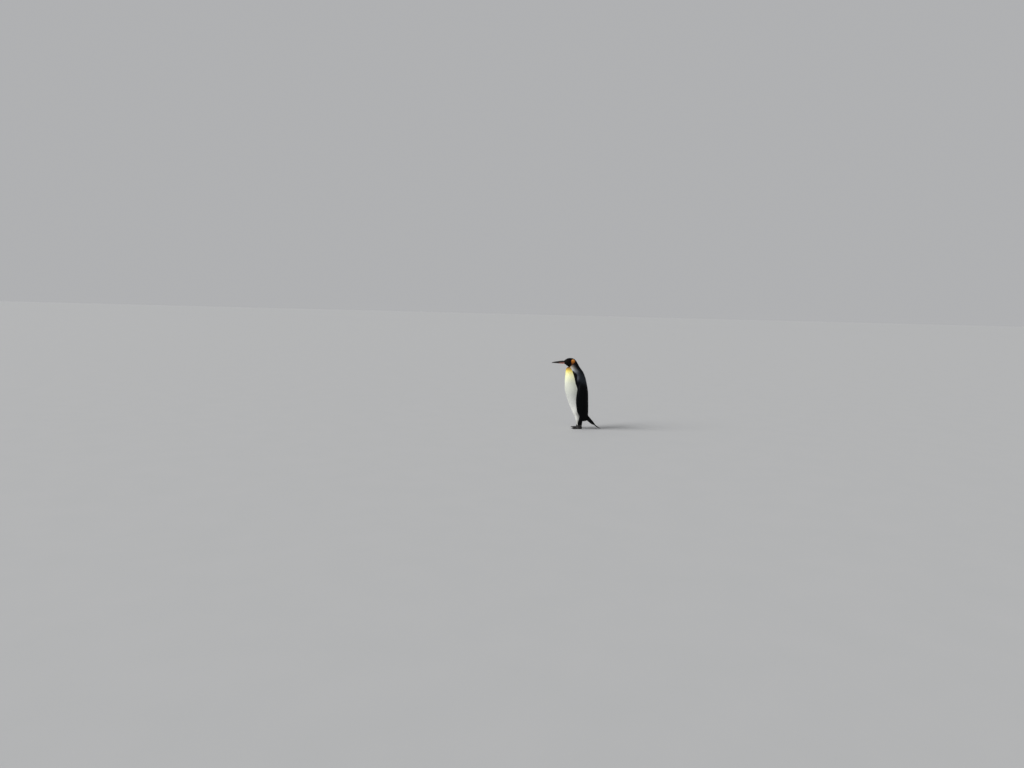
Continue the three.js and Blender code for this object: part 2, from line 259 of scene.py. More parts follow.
# Smoothing has drawn the rounded forms in a little, so the hide is let out again by as much.
drawn_in = np.empty(len(places))
for index, (place, normal) in enumerate(zip(places.tolist(), normals_of(hide.data))):
    nearest = nearest_flesh.find_nearest(place)[0]
    drawn_in[index] = np.dot(np.array(nearest) - place, normal)
drawn_in = np.clip(drawn_in, 0, 0.005)
drawn_in[np.isin(part, FEET)] = 0
inward -= drawn_in
ends = read(hide.data.edges, "vertices", 2)
ends = np.concatenate([ends, ends[:, ::-1]])
neighbours = np.maximum(np.bincount(ends[:, 0], minlength=len(places)), 1)
for _ in range(12):  # evens out the steps from part to part
    inward = np.bincount(ends[:, 0], inward[ends[:, 1]], len(places)) / neighbours
places -= normals_of(hide.data) * inward[:, None]
places[:, 2] = np.maximum(places[:, 2], 0)

# The flesh of the tail is short: past its root only a thin core runs on between the quills.
tail_root = np.array([0, 0.146, 0.129])
tail_way = unit(np.array([[0, 0.767, -0.641]]))[0]
tail_up = np.cross(tail_way, (-1, 0, 0))
tail_length = 0.2085
core_start = 0.070  # distance down the tail where the flesh begins to thin
core_share, core_width = 0.30, 0.86  # of the tail's thickness and width, at the end of the core
core_shortened = 0.26


def tail_middle(along):
    """The middle of the tail's thickness: it sags at first and bends up again as it nears the floor."""
    share = along / tail_length
    sag = 0.0102 * share - 0.0211 * share**3
    return tail_root + np.outer(along, tail_way) - np.outer(sag, tail_up)


out_along = (places - tail_root) @ tail_way
past = np.maximum(out_along - core_start, 0) * (part == TAIL)
at_core = ease(past, 0.015, 0.090)
off_middle = places - tail_middle(out_along)
off_middle += np.outer((off_middle @ tail_up) * (core_share - 1) * at_core, tail_up)
off_middle[:, 0] *= 1 + (core_width - 1) * at_core
moved = tail_middle(out_along - past * core_shortened) + off_middle
places = np.where((part == TAIL)[:, None], moved, places)

# The face's small feathers run a little way out over the horn, furthest by the nostril and on the chin.
over_horn = (part == HEAD) & (places[:, 1] < bill_root[1] + 0.006)
angle = np.arctan2(places[:, 2] - bill_root[2] - 0.001, np.abs(places[:, 0]))
run = 0.0025 * ease(angle, -0.1, 0.2) + 0.0045 * bell(angle, 0.45, 0.40)
run = run + 0.0060 * ease(angle, -1.15, -1.45)
run = run * ease(places[:, 1], bill_root[1] + 0.006, bill_root[1]) * over_horn
places[:, 1] -= run
closer = (1 - run * 8)[:, None]
places[:, (0, 2)] = bill_root[[0, 2]] + (places[:, (0, 2)] - bill_root[[0, 2]]) * closer

# The lids close round the eyeball, and the hide behind the opening falls back under it.
eye_sinks = 0.0014
for eye in eyes.values():
    share = beside_eye(places, eye)
    offset = places - eye["centre"]
    distance = np.linalg.norm(offset, axis=1)
    lid = eye["radius"] + lid_thick - 0.0006 * ease(share, 1.05, 1.5)
    raised = 1 - ease(share, 1.45, 2.5)
    over_lid = np.maximum(distance, lid) * raised + distance * (1 - raised)
    wanted = np.where(share > 1.02, over_lid, eye["radius"] - eye_sinks)
    near = share < 2.5
    places[near] = (eye["centre"] + offset / distance[:, None] * wanted[:, None])[near]


def tree_of(points):
    tree = kdtree.KDTree(len(points))
    for number, point in enumerate(points):
        tree.insert(point, number)
    tree.balance()
    return tree


def thin_out(points, gaps):
    """The numbers of the points that stay when none may lie within the gap of one kept before it."""
    tree = tree_of(points)
    free = np.ones(len(points), bool)
    kept = []
    for number, (point, gap) in enumerate(zip(points, gaps)):
        if free[number]:
            kept.append(number)
            for _, other, _ in tree.find_range(point, gap):
                free[other] = False
    return kept


# Scutes: the feet's leathery scales, each a low cushion between fine grooves.
scute_size, scute_height = 0.0026, 0.00045
bare = is_bare(places, part)
bare_places = np.nonzero(bare)[0]
scattered = places[rng.permutation(bare_places)].tolist()
chosen = thin_out(scattered, [scute_size * 0.8] * len(scattered))
cells = tree_of([scattered[number] for number in chosen])
groove = np.ones(len(places))
for index in bare_places:
    (_, _, first), (_, _, second) = cells.find_n(places[index], 2)
    groove[index] = min((second - first) / (scute_size * 0.45), 1)
sole = ease(places[:, 2], 0.0004, 0.003)
put(hide.data, places)
rise = scute_height * (1 - (1 - groove) ** 2) * sole
places[bare] += (normals_of(hide.data) * (rise - 0.0003 * sole)[:, None])[bare]
places[:, 2] = np.maximum(places[:, 2], 0)
put(hide.data, places)
apply_modifier(hide, "TRIANGULATE")
face_outwards(hide)
bpy.ops.object.shade_smooth()
edit_all(hide, bpy.ops.uv.smart_project, angle_limit=1.15, island_margin=0.004)
hide.data.uv_layers.active.name = "OFBake"

# ---- Markings ----
# The plumage's pattern: black head, orange ear patch and bib, white front, slate back, with painted light
# and shade in it: the lower back painted near black as shade, a painted highlight on the shoulder, and
# painted shade on the flanks and thighs of the white.
# Hide and feathers take their colours from this one pattern, which is laid out by height and by
# distance behind the front, as the bird's side shows it.


def colour(code):
    """A colour given as six hexadecimal digits, as linear light."""
    shares = np.array([int(code[i : i + 2], 16) / 255 for i in (0, 2, 4)])
    return np.where(shares <= 0.04045, shares / 12.92, ((shares + 0.055) / 1.055) ** 2.4)


def along_curve(x, points):
    """The second value at x of a curve through points whose first values rise, in millimetres."""
    xs, ys = np.array(points).T / 1000
    nearby = (-0.008, -0.004, 0, 0.004, 0.008)
    return sum(np.interp(x + shift, xs, ys) for shift in nearby) / len(nearby)


def off_line(y, z, points):
    """The distance from a line of points in millimetres, less the line's half width there."""
    best = np.full(len(y), 9.0)
    for (y1, z1, w1), (y2, z2, w2) in zip(points, points[1:]):
        dy, dz = (y2 - y1) / 1000, (z2 - z1) / 1000
        t = ((y - y1 / 1000) * dy + (z - z1 / 1000) * dz) / (dy * dy + dz * dz)
        t = np.clip(t, 0, 1)
        gap = np.hypot(y - y1 / 1000 - t * dy, z - z1 / 1000 - t * dz) - (w1 + (w2 - w1) * t) / 1000
        best = np.minimum(best, gap)
    return best


# Outlines by height: each pair is a height and the distance behind the bird's middle.
white_edge = [(40, 36), (70, 36), (107, 47), (150, 52), (178, 31), (205, 20), (297, 7), (345, 5)]
white_edge += [(416, 11), (470, 18), (500, 9), (536, -6), (600, -20), (656, -38), (685, -50)]
white_edge += [(714, -60), (738, -76), (752, -90)]
face_edge = [(724, -98), (733, -77), (742, -62), (754, -55), (768, -55), (780, -58), (802, -66)]
face_edge += [(820, -63), (829, -48), (842, 60)]
sheen_line = [(540, 22), (600, 22), (640, 19), (656, 10), (678, -20), (702, -45), (738, -54)]
sheen_line += [(765, -55)]
sheen_width = [(540, 18), (600, 26), (650, 54), (690, 84), (715, 66), (738, 56)]
# Colours by height: down the front, where the white is painted brightest on the upper chest, greyer at
# mid height as painted shade and lighter again low down as painted light; along the paler sheen beside
# the neck, the plumage's own silver grey with a painted highlight on the shoulder at 600 mm; and behind
# it, the slate back, painted near black below the shoulder as shade.
bib_colours_and_shade = [(745, "5a3f25"), (722, "9c7340"), (700, "d4b24a"), (680, "f8e880"), (655, "f9f3b4")]
bib_colours_and_shade += [(620, "f2f3c8"), (540, "d8dbca"), (400, "c9cbc4"), (300, "d0d1cc"), (225, "e2e2dc")]
sheen_colours = [(790, "1a1210"), (765, "2e2824"), (740, "8f8c88"), (722, "c2bdb4"), (702, "c0c5c8")]
sheen_colours += [(682, "8e9499"), (664, "474c52"), (640, "3a3e44"), (600, "5a5e66"), (562, "1b1d21")]
sheen_colours += [(540, "060709")]
# Painted shade: below about 600 mm the slate goes near black down the lower back.
back_colours_and_shade = [(840, "060505"), (735, "08090b"), (690, "14171a"), (650, "22262b"), (600, "262a2f")]
back_colours_and_shade += [(545, "0a0b0e"), (510, "030405")]
# The ear patch's midline: each point is a distance behind the middle, a height and the half width there.
ear_patch = [(-43, 806, 21), (-44, 797, 19), (-49, 780, 11), (-54, 764, 4), (-63, 747, 3), (-76, 733, 4)]
# Its orange darkens downwards from one height to another, partly its own colour and partly painted shade,
# and pales where it meets the bib.
patch_colours_and_shade = (("b87024", 0.820, 0.804), ("80491a", 0.804, 0.786), ("4a2812", 0.786, 0.770))
patch_colours_and_shade += (("b39468", 0.756, 0.738),)


def mix(first, second, share):
    return first + (second - first) * np.asarray(share)[:, None]


def tint(found, code, share):
    return mix(found, colour(code)[None], share)


def shade_at(height, table):
    """The colour at each height, from a list of heights in millimetres and colours."""
    heights = np.array([height for height, _ in table]) / 1000
    shades = np.array([colour(code) for _, code in table])
    order = np.argsort(heights)
    return np.stack([np.interp(height, heights[order], shades[order, i]) for i in range(3)], 1)


def markings(places, part):
    """Linear colour at each place of the outer coat."""
    x, y, z = places.T
    z = z - np.abs(x) * (0.153 - 0.109 * z)
    # Back: slate, painted near black below the shoulder as shade, with a silver sheen beside the neck
    # that is partly the plumage's own silver grey and partly a painted highlight, and that fades towards
    # the spine partly as painted shade.
    sheen = y - along_curve(z, sheen_line)
    fade_to_shade = 1 - (1 - np.clip(sheen / along_curve(z, sheen_width), 0, 1)) ** 2
    slope = z + 0.45 * (y - 0.03)
    found = mix(shade_at(z, sheen_colours), shade_at(slope, back_colours_and_shade), fade_to_shade)
    ahead = ease(sheen, -0.005, -0.014) * (1 - ease(z, 0.680, 0.697))
    found = tint(found, "040405", ahead)
    # Front: orange bib, paling through lemon to white, with painted shade towards the flank, at the back
    # of the thigh and in the hollow above the legs, and painted light down the middle of the belly.
    edge = along_curve(z, white_edge)
    front = shade_at(z, bib_colours_and_shade)
    beige = ease(z, 0.700, 0.730) * ease(y - edge, -0.016, -0.002)
    front = tint(front, "b8a68a", beige)
    # Painted shade darkens the white towards the flank, behind the thigh and above the legs; the belly's
    # middle is painted lighter, where it faces the light.
    flank = ease(y - edge, -0.075, 0.0) * ease(z, 0.30, 0.42)
    thigh_shade = ease(y - edge, -0.042, -0.002) * ease(z, 0.225, 0.165)
    groin_shade = bell(z, 0.150, 0.026)
    middle = ease(np.abs(x), 0.085, 0.030) * ease(z, 0.64, 0.56)
    front = front * (1 + 0.10 * middle - 0.14 * flank - 0.45 * thigh_shade - 0.20 * groin_shade)[:, None]
    in_front = (1 - ease(y - edge, -0.0015, 0.0015)) * (part != TAIL)
    found = mix(found, front, in_front)
    # Head: black, with a maroon-brown fringe round the ear patch, which darkens as it narrows, partly as
    # painted shade.
    face = 1 - ease(y - along_curve(z, face_edge), -0.0015, 0.0015)
    found = tint(found, "030202", face * ease(z, 0.7265, 0.7305))
    patch = off_line(y, z, ear_patch)
    orange = colour("dc9550")[None]
    for code, above, below in patch_colours_and_shade:
        orange = tint(orange, code, ease(z, above, below))
    fringe = (1 - ease(patch, 0.002, 0.014)) * ease(z, 0.760, 0.785)
    found = tint(found, "1c0c05", fringe)
    found = mix(found, orange, 1 - ease(patch, -0.0015, 0.0012))
    # Flippers: dark outside, with a little slate at the shoulder.
    outside = tint(colour("040506")[None], "14171b", ease(z, 0.50, 0.56))
    return np.where(np.isin(part, FLIPPERS)[:, None], outside, found)


def pattern(places, normals, part):
    """The markings, with the white lining on the inner side of each flipper."""
    x, y, z = places.T
    inward = ease(-normals[:, 0] * np.sign(x), 0.6, 0.75) * np.isin(part, FLIPPERS)
    middle = ease(y, 0.040, 0.048) * ease(y, 0.094, 0.088)
    middle = middle * ease(z, 0.50, 0.47) * ease(z, 0.262, 0.272)
    return tint(markings(places, part), "c4c5bf", inward * middle)


def colour_points(mesh, name, colours):
    layer = mesh.color_attributes.new(name, "FLOAT_COLOR", "POINT")
    flat = np.ones((len(colours), 4), np.float32)
    flat[:, :3] = colours
    layer.data.foreach_set("color", flat.ravel())


def vectors_on_points(mesh, name, vectors):
    layer = mesh.attributes.new(name, "FLOAT_VECTOR", "POINT")
    layer.data.foreach_set("vector", vectors.astype(np.float32).ravel())


def map_points(mesh, on_map):
    """Lays each corner of the mesh where its point belongs on the map."""
    corners = on_map[read(mesh.loops, "vertex_index")].astype(np.float32)
    mesh.uv_layers.new(name="OFBake").uv.foreach_set("vector", corners.ravel())


places = places_of(hide.data)
colour_points(hide.data, "plumage", pattern(places, normals_of(hide.data), part))
vectors_on_points(hide.data, "scute", np.stack([groove] * 3, 1))

# The plumage's finish: barbs run out slantwise from each shaft, in fine ridges that break the light.


def new_material(name):
    material = bpy.data.materials.new(name)
    material.use_nodes = True
    return material, material.node_tree, material.node_tree.nodes["Principled BSDF"]


def feed(tree, target, inputs):
    """Sets inputs of a node, each to a value or to what another node gives out."""
    for socket, value in inputs.items():
        if isinstance(value, bpy.types.NodeSocket):
            tree.links.new(value, target.inputs[socket])
        else:
            target.inputs[socket].default_value = value


def node(tree, kind, inputs=None, **settings):
    made = tree.nodes.new(kind)
    for setting, value in settings.items():
        setattr(made, setting, value)
    feed(tree, made, inputs or {})
    return made


def maths(tree, operation, first, second=0.0, third=0.0):
    return node(tree, "ShaderNodeMath", {0: first, 1: second, 2: third}, operation=operation).outputs[0]


def noise(tree, spot, scale, detail):
    inputs = {"Vector": spot, "Scale": scale, "Detail": detail}
    return node(tree, "ShaderNodeTexNoise", inputs).outputs["Fac"]


def attribute(tree, name, result="Fac"):
    return node(tree, "ShaderNodeAttribute", attribute_name=name).outputs[result]


def bumped(tree, height, strength, distance):
    inputs = {"Height": height, "Strength": strength, "Distance": distance}
    return node(tree, "ShaderNodeBump", inputs).outputs["Normal"]


def ramp_of(tree, amount, *stops):
    """Runs through linear colours, each at a share of the amount."""
    ramp = node(tree, "ShaderNodeValToRGB", {"Fac": amount})
    elements = ramp.color_ramp.elements
    for position, _ in stops[2:]:
        elements.new(position)
    for element, (position, shade) in zip(elements, stops):
        element.position = position
        element.color = (*shade, 1)
    return ramp.outputs["Color"]


def new_group(name, inputs, outputs):
    group = bpy.data.node_groups.new(name, "ShaderNodeTree")
    for label, kind, value in inputs:
        socket = group.interface.new_socket(label, in_out="INPUT", socket_type="NodeSocket" + kind)
        if value is not None:
            socket.default_value = value
    for label, kind in outputs:
        group.interface.new_socket(label, in_out="OUTPUT", socket_type="NodeSocket" + kind)
    return group, group.nodes.new("NodeGroupInput").outputs, group.nodes.new("NodeGroupOutput")


barbs, given, result = new_group(
    "barbs",
    [
        ("Vane", "Vector", None),
        ("Colour", "Color", (0.5, 0.5, 0.5, 1)),
        ("Contrast", "Float", 0.1),
    ],
    [("Colour", "Color"), ("Height", "Float")],
)
split = node(barbs, "ShaderNodeSeparateXYZ", {0: given["Vane"]}).outputs
across = maths(barbs, "ABSOLUTE", split["X"])
slant = maths(barbs, "MULTIPLY_ADD", split["Y"], 90.0, maths(barbs, "MULTIPLY", across, -26.0))
ridge = maths(barbs, "SINE", slant)
shaft = maths(barbs, "SUBTRACT", 1.0, maths(barbs, "MULTIPLY", across, 7.0))
shaft = maths(barbs, "MAXIMUM", shaft, 0.0)
spot = node(barbs, "ShaderNodeTexCoord").outputs["Object"]
mottle = maths(barbs, "SUBTRACT", noise(barbs, spot, 260.0, 3.0), 0.5)
shade = maths(barbs, "MULTIPLY_ADD", ridge, 0.35, maths(barbs, "MULTIPLY", mottle, 2.4))
shade = maths(barbs, "MULTIPLY_ADD", shade, given["Contrast"], 1.0)
tinted = node(barbs, "ShaderNodeVectorMath", {0: given["Colour"], 1: shade}, operation="MULTIPLY")
height = maths(barbs, "MULTIPLY_ADD", ridge, 0.3, shaft)
feed(barbs, result, {"Colour": tinted.outputs[0], "Height": height})

plumage, tree, shader = new_material("plumage")
inputs = {"Colour": attribute(tree, "plumage", "Color"), "Vane": attribute(tree, "vane", "Vector")}
inputs["Contrast"] = 0.1
finish = node(tree, "ShaderNodeGroup", inputs, node_tree=barbs).outputs
bump = bumped(tree, finish["Height"], 0.35, 0.0002)
feed(tree, shader, {"Base Color": finish["Colour"], "Normal": bump})
feed(tree, shader, {"Roughness": 0.62, "Specular IOR Level": 0.08})

# The bare skin's finish: dark grey leather, paler and drier on each scute's crown.
foot_skin, tree, shader = new_material("foot_skin")
crown = attribute(tree, "scute")
spot = node(tree, "ShaderNodeTexCoord").outputs["Object"]
grain = noise(tree, spot, 900.0, 4.0)
worn = maths(tree, "MULTIPLY", crown, maths(tree, "MULTIPLY_ADD", grain, 0.9, 0.25))
leather = ramp_of(tree, worn, (0.0, colour("080707")), (1.0, colour("2b2826")))
feed(tree, shader, {"Base Color": leather, "Normal": bumped(tree, grain, 0.5, 0.0003)})
feed(tree, shader, {"Roughness": 0.55, "Specular IOR Level": 0.35})

hide.data.materials.append(plumage)
hide.data.materials.append(foot_skin)
shows_skin = bare | (beside_eyes(places) < 1.6)
first_corner = read(hide.data.loops, "vertex_index")[::3]
hide.data.polygons.foreach_set("material_index", shows_skin[first_corner].astype(np.int32))
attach(hide, "root")
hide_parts(*flesh)

# ---- Plumage ----
# Some fifty-five thousand small stiff feathers lie over each other like slates, pointing back and down.
# Each is one thin curved vane with a ridge along its shaft, rooted in the hide and rising to the outline.
# They are tiniest round the bill, small on the flippers, and longest on the trunk.
mesh = hide.data
mesh.calc_loop_triangles()
places = places_of(mesh)
outward = normals_of(mesh)
face_points = read(mesh.loop_triangles, "vertices", 3)
unwrapped = read(mesh.uv_layers["OFBake"].uv, "vector", 2, np.float32)
face_unwrap = unwrapped[read(mesh.loop_triangles, "loops", 3)]
hide_tree = BVHTree.FromPolygons(places.tolist(), face_points.tolist())
coverts_end = 0.148  # distance down the tail where its small feathers end
feather_length, feather_width = 5.0, 0.84  # length and half width, in gaps between two feathers
vane_droop = 0.07  # how far the edges fall below the shaft, as a share of the half width


def feather_gap(places, part):
    """The distance between neighbouring feathers."""
    reach = from_bill(places)
    gap = 0.0013 + 0.0007 * ease(reach, 0.02, 0.10) + 0.0007 * ease(reach, 0.09, 0.20)
    gap = np.where(np.isin(part, FLIPPERS), 0.0021, gap)
    return np.where(np.isin(part, LEGS), 0.0019 + 0.0008 * ease(places[:, 2], 0.05, 0.15), gap)


def feathered(places, part):
    """Whether feathers grow there: not on feet or lids, under the bill's horn or far down the tail."""
    x, y, z = places.T
    under_bill = (y < bill_root[1] + 0.001) & (np.hypot(x / 0.0125, (z - 0.7925) / 0.0175) < 1)
    off_tail = (part != TAIL) | ((places - tail_root) @ tail_way < coverts_end)
    on_leg = z > feather_line + 0.004 * ease(y, 0.03, 0.07)
    return ~np.isin(part, FEET) & (beside_eyes(places) > 1.55) & ~under_bill & off_tail & on_leg


def lie(places, part):
    """The way the coat lies: back over the head, down the neck and trunk, out along flipper and tail."""
    reach = from_bill(places)
    _, y, z = places.T
    way = mix(unit(places - bill_root), np.array([[0, 0.91, -0.41]]), ease(reach, 0.02, 0.06))
    way = mix(way, np.array([[0, 0.15, -1.0]]), ease(reach, 0.09, 0.15))
    in_front = ease(y, -0.045, -0.085) * ease(z, 0.775, 0.745)
    way = mix(way, np.array([[0, -0.75, -1.0]]), in_front)
    way = mix(way, np.array([[0, 0.05, -1.0]]), ease(z, 0.60, 0.45))
    way = mix(way, np.array([[0, 0.55, -0.84]]), ease(z, 0.26, 0.12) * ease(y, -0.02, 0.08))
    way[np.isin(part, FLIPPERS)] = (0, 0.02, -1)
    way[np.isin(part, LEGS)] = (0, 0.05, -1)
    way[part == TAIL] = (0, 0.77, -0.64)
    return unit(way)


middles = places[face_points].mean(1)
face_part = part[face_points[:, 0]]
corner_a, corner_b, corner_c = (places[face_points[:, i]] for i in range(3))
area = np.linalg.norm(np.cross(corner_b - corner_a, corner_c - corner_a), axis=1) / 2
chance = area / feather_gap(middles, face_part) ** 2 * feathered(middles, face_part)
tries = int(chance.sum() * 6)  # enough that no bare spot stays between those that are kept
face = rng.choice(len(chance), tries, p=chance / chance.sum())
weight = rng.dirichlet((1, 1, 1), tries)
spots = (places[face_points[face]] * weight[:, :, None]).sum(1)
gaps = feather_gap(spots, face_part[face])
kept = thin_out(spots.tolist(), gaps.tolist())
roots, root_face, root_weight = spots[kept], face[kept], weight[kept]
root_gap, root_part = gaps[kept], face_part[root_face]
root_map = (face_unwrap[root_face] * root_weight[:, :, None]).sum(1)


def on_hide(points):
    """The nearest places on the hide, with its smooth normals there."""
    found = [hide_tree.find_nearest(point)[::2] for point in points.tolist()]
    place = np.array([place for place, _ in found])
    index = np.array([index for _, index in found])
    a, b, c = (places[face_points[index, i]] for i in range(3))
    whole_area = np.maximum(np.linalg.norm(np.cross(b - a, c - a), axis=1), 1e-12)
    share_b = np.linalg.norm(np.cross(place - a, c - a), axis=1) / whole_area
    share_c = np.linalg.norm(np.cross(b - a, place - a), axis=1) / whole_area
    shares = (np.clip(1 - share_b - share_c, 0, 1), share_b, share_c)
    normals = sum(outward[face_points[index, i]] * shares[i][:, None] for i in range(3))
    return place, unit(normals)


def turned(way, normals):
    """The way, laid flat on the surface."""
    return unit(way - (way * normals).sum(1, keepdims=True) * normals)


count = len(roots)
root_normal = unit((outward[face_points[root_face]] * root_weight[:, :, None]).sum(1))
way = turned(lie(roots, root_part), root_normal)
side = np.cross(root_normal, way)
yaw = rng.normal(0, 0.05, count)[:, None]
way = unit(way + side * yaw)
long = root_gap * feather_length * rng.normal(1, 0.08, count)
wide = root_gap * feather_width * rng.normal(1, 0.08, count)
halfway, half_normal = on_hide(roots + way * (long / 2)[:, None])
second_way = turned(lie(halfway, root_part) + way, half_normal)
end, end_normal = on_hide(halfway + second_way * (long / 2)[:, None])
second_normal = unit(half_normal + end_normal)
root_depth = coat_depth(roots, root_part) * rng.normal(0.97, 0.05, count)

vane_rows = ((0.22, 0.72, 0.42), (0.55, 1.0, 0.74), (0.84, 0.74, 0.93))  # along, width, rise
per_vane = 2 + 3 * len(vane_rows)


def vane_faces(rows):
    """Corner numbers of one vane: its root, then left, shaft and right of each row, then its tip."""
    first, last = 1, 3 * rows - 2
    tip = 3 * rows + 1
    faces = [(0, first + 1, first), (0, first + 2, first + 1), (0, first, first + 2)]
    for row in range(rows - 1):
        left, shaft, right = (1 + 3 * row + i for i in range(3))
        faces += [
            (left, shaft, shaft + 3, left + 3),
            (shaft, right, right + 3, shaft + 3),
            (right, left, left + 3, right + 3),
        ]
    return faces + [(last, last + 1, tip), (last + 1, last + 2, tip), (last + 2, last, tip)]


def along_vane(share):
    """Place, normal and way on the hide at this share of each vane's length."""
    blend = share * share
    place = (
        roots * (1 - share) * (1 - 2 * share)
        + halfway * 4 * share * (1 - share)
        + end * share * (2 * share - 1)
    )
    normal = unit(root_normal * (1 - blend) + second_normal * blend)
    return place, normal, turned(way * (1 - share) + second_way * share, normal)


vanes = np.empty((count, per_vane, 3))
vanes[:, 0] = roots + root_normal * (root_depth * 0.02)[:, None]
for row, (share, width, rise) in enumerate(vane_rows):
    place, normal, ahead = along_vane(share)
    shaft = place + normal * (root_depth * rise)[:, None]
    drop = normal * (wide * width * vane_droop)[:, None]
    spread = np.cross(normal, ahead) * (wide * width)[:, None]
    vanes[:, 1 + 3 * row] = shaft + spread - drop
    vanes[:, 2 + 3 * row] = shaft
    vanes[:, 3 + 3 * row] = shaft - spread - drop
place, normal, _ = along_vane(1.0)
vanes[:, -1] = place + normal * (root_depth * 0.97)[:, None]

shown = roots + (end - roots) * 0.9
coat_colour = pattern(shown, unit(root_normal + end_normal), root_part)
lightness = coat_colour.mean(1)
tone = rng.normal(1, 0.035, count)
dark_below = (1 - ease(lightness, 0.02, 0.25)) * ease(shown[:, 2], 0.85, 0.70)
row_share = np.array([0.0] + [share for share, _, _ in vane_rows for _ in range(3)] + [1.0])
across_share = np.array([0.0] + [1.0, 0.0, -1.0] * len(vane_rows) + [0.0])
# Painted shade: each vane darkens a little towards its root, where the feathers above lie over it.
root_shade = 0.94 + 0.06 * ease(row_share, 0.2, 0.75)
tip_tone = 1 + 0.9 * dark_below[:, None] * ease(row_share, 0.6, 1.0)  # the slate feathers' pale tips
vane_colour = coat_colour[:, None, :] * (tone[:, None] * root_shade * tip_tone)[:, :, None]
vane_attribute = np.empty((count, per_vane, 3))
vane_attribute[:, :, 0] = across_share
vane_attribute[:, :, 1] = row_share
vane_attribute[:, :, 2] = rng.random(count)[:, None]
patch_size = 0.003
vane_map = root_map[:, None, :] + np.stack([across_share / 2, row_share - 0.5], 1)[None] * patch_size


def feather_piece(name, chosen):
    """One mesh of all the chosen feathers."""
    number = len(chosen)
    faces = vane_faces(len(vane_rows))
    first = np.arange(number)[:, None] * per_vane
    loops = np.concatenate([(first + np.array(face)).ravel() for face in faces]).astype(np.int32)
    sizes = np.repeat([len(face) for face in faces], number)
    mesh = bpy.data.meshes.new(name)
    mesh.vertices.add(number * per_vane)
    mesh.vertices.foreach_set("co", vanes[chosen].astype(np.float32).ravel())
    mesh.loops.add(len(loops))
    mesh.loops.foreach_set("vertex_index", loops)
    mesh.polygons.add(len(sizes))
    starts = np.cumsum(sizes) - sizes
    mesh.polygons.foreach_set("loop_start", starts.astype(np.int32))
    mesh.update(calc_edges=True)
    colour_points(mesh, "plumage", vane_colour[chosen].reshape(-1, 3))
    vectors_on_points(mesh, "vane", vane_attribute[chosen].reshape(-1, 3))
    map_points(mesh, vane_map[chosen].reshape(-1, 2))
    ends = read(mesh.edges, "vertices", 2) % per_vane
    at_end = np.isin(ends, (0, per_vane - 1))
    rim = ((across_share[ends] != 0) | at_end).all(1)
    mesh.attributes.new("sharp_edge", "BOOLEAN", "EDGE").data.foreach_set("value", rim)
    mesh.materials.append(plumage)
    piece = add_piece(name, mesh)
    bpy.ops.object.shade_smooth(keep_sharp_edges=True)
    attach(piece, "root")


# Each side's feathers make four pieces of equal number, from the breastbone round to the spine.
bearing = np.arctan2(np.abs(roots[:, 0]), -(roots[:, 1] - 0.01))
strips = [("breast", "plumage_white"), ("belly", "plumage_white")]
strips += [("flank", "plumage_dark"), ("back", "plumage_grey")]
for side, sign in (("left", 1), ("right", -1)):
    on_side = np.nonzero(roots[:, 0] * sign > 0)[0]
    ordered = on_side[np.argsort(bearing[on_side], kind="stable")]
    for (strip, slot), chosen in zip(strips, np.array_split(ordered, len(strips))):
        feather_piece(f"coat_{strip}_{side}", chosen)

# ---- Tail feathers ----
# Long stiff quills stand side by side in a fan, the middle ones on top, with a second row below.
# Each has a strong shaft and a vane that narrows to a worn point, with barbs that run out slantwise.
quill_rows = 18
quill_sides = 4
quill_starts = 0.105  # distance down the tail from its root, under the coverts
quill_width, quill_thick = 0.0062, 0.0006
fan_width, fan_droop = 0.0285, 0.007  # half the fan's width at its root, and how far its sides hang
upper_quills, lower_quills = 15, 12


def quill_points(fan, facing, length):
    """Rows of one vane from its base to its tip, each from the inner edge over the shaft to the outer."""
    points = []
    outer = 1 if fan >= 0 else -1
    for row in range(quill_rows + 1):
        share = row / quill_rows
        along = quill_starts + (length - quill_starts) * share
        down = along / tail_length
        half_tail = fan_width - 0.015 * ease(down, 0.60, 1.0)
        width = quill_width * math.sqrt(max(0.004, 1 - (max(0, share - 0.62) / 0.38) ** 2))
        middle = tail_middle(along)[0]
        off_middle = 0.0089 - 0.0085 * down
        droop = fan_droop * fan * fan * ease(down, 0.5, 1.0)
        for step in range(-quill_sides, quill_sides + 1):
            edge = step / quill_sides
            across = fan * half_tail + edge * outer * width
            lift = 0.0007 * edge + 0.0004 * (step == 0) - 0.0004 * edge * edge
            raised = facing * (off_middle + lift) - droop
            points.append(middle + (across, 0, 0) + tail_up * raised)
    return np.array(points)


def quill_solid(points, thickness):
    """The vane with its underside, as points and faces."""
    per_row = 2 * quill_sides + 1
    under = points - thickness
    shift = len(points)
    faces = []
    for row in range(quill_rows):
        near, far = row * per_row, (row + 1) * per_row
        for step in range(per_row - 1):
            a, b, c, d = near + step, near + step + 1, far + step + 1, far + step
            faces.append((a, d, c, b))
            faces.append((a + shift, b + shift, c + shift, d + shift))
        for a, b in ((near, far), (far + per_row - 1, far - 1)):
            faces.append((a, a + shift, b + shift, b))
    last = quill_rows * per_row
    for step in range(per_row - 1):
        faces.append((step, step + 1, step + 1 + shift, step + shift))
        faces.append((last + step + 1, last + step, last + step + shift, last + step + 1 + shift))
    return np.concatenate([points, under]), faces


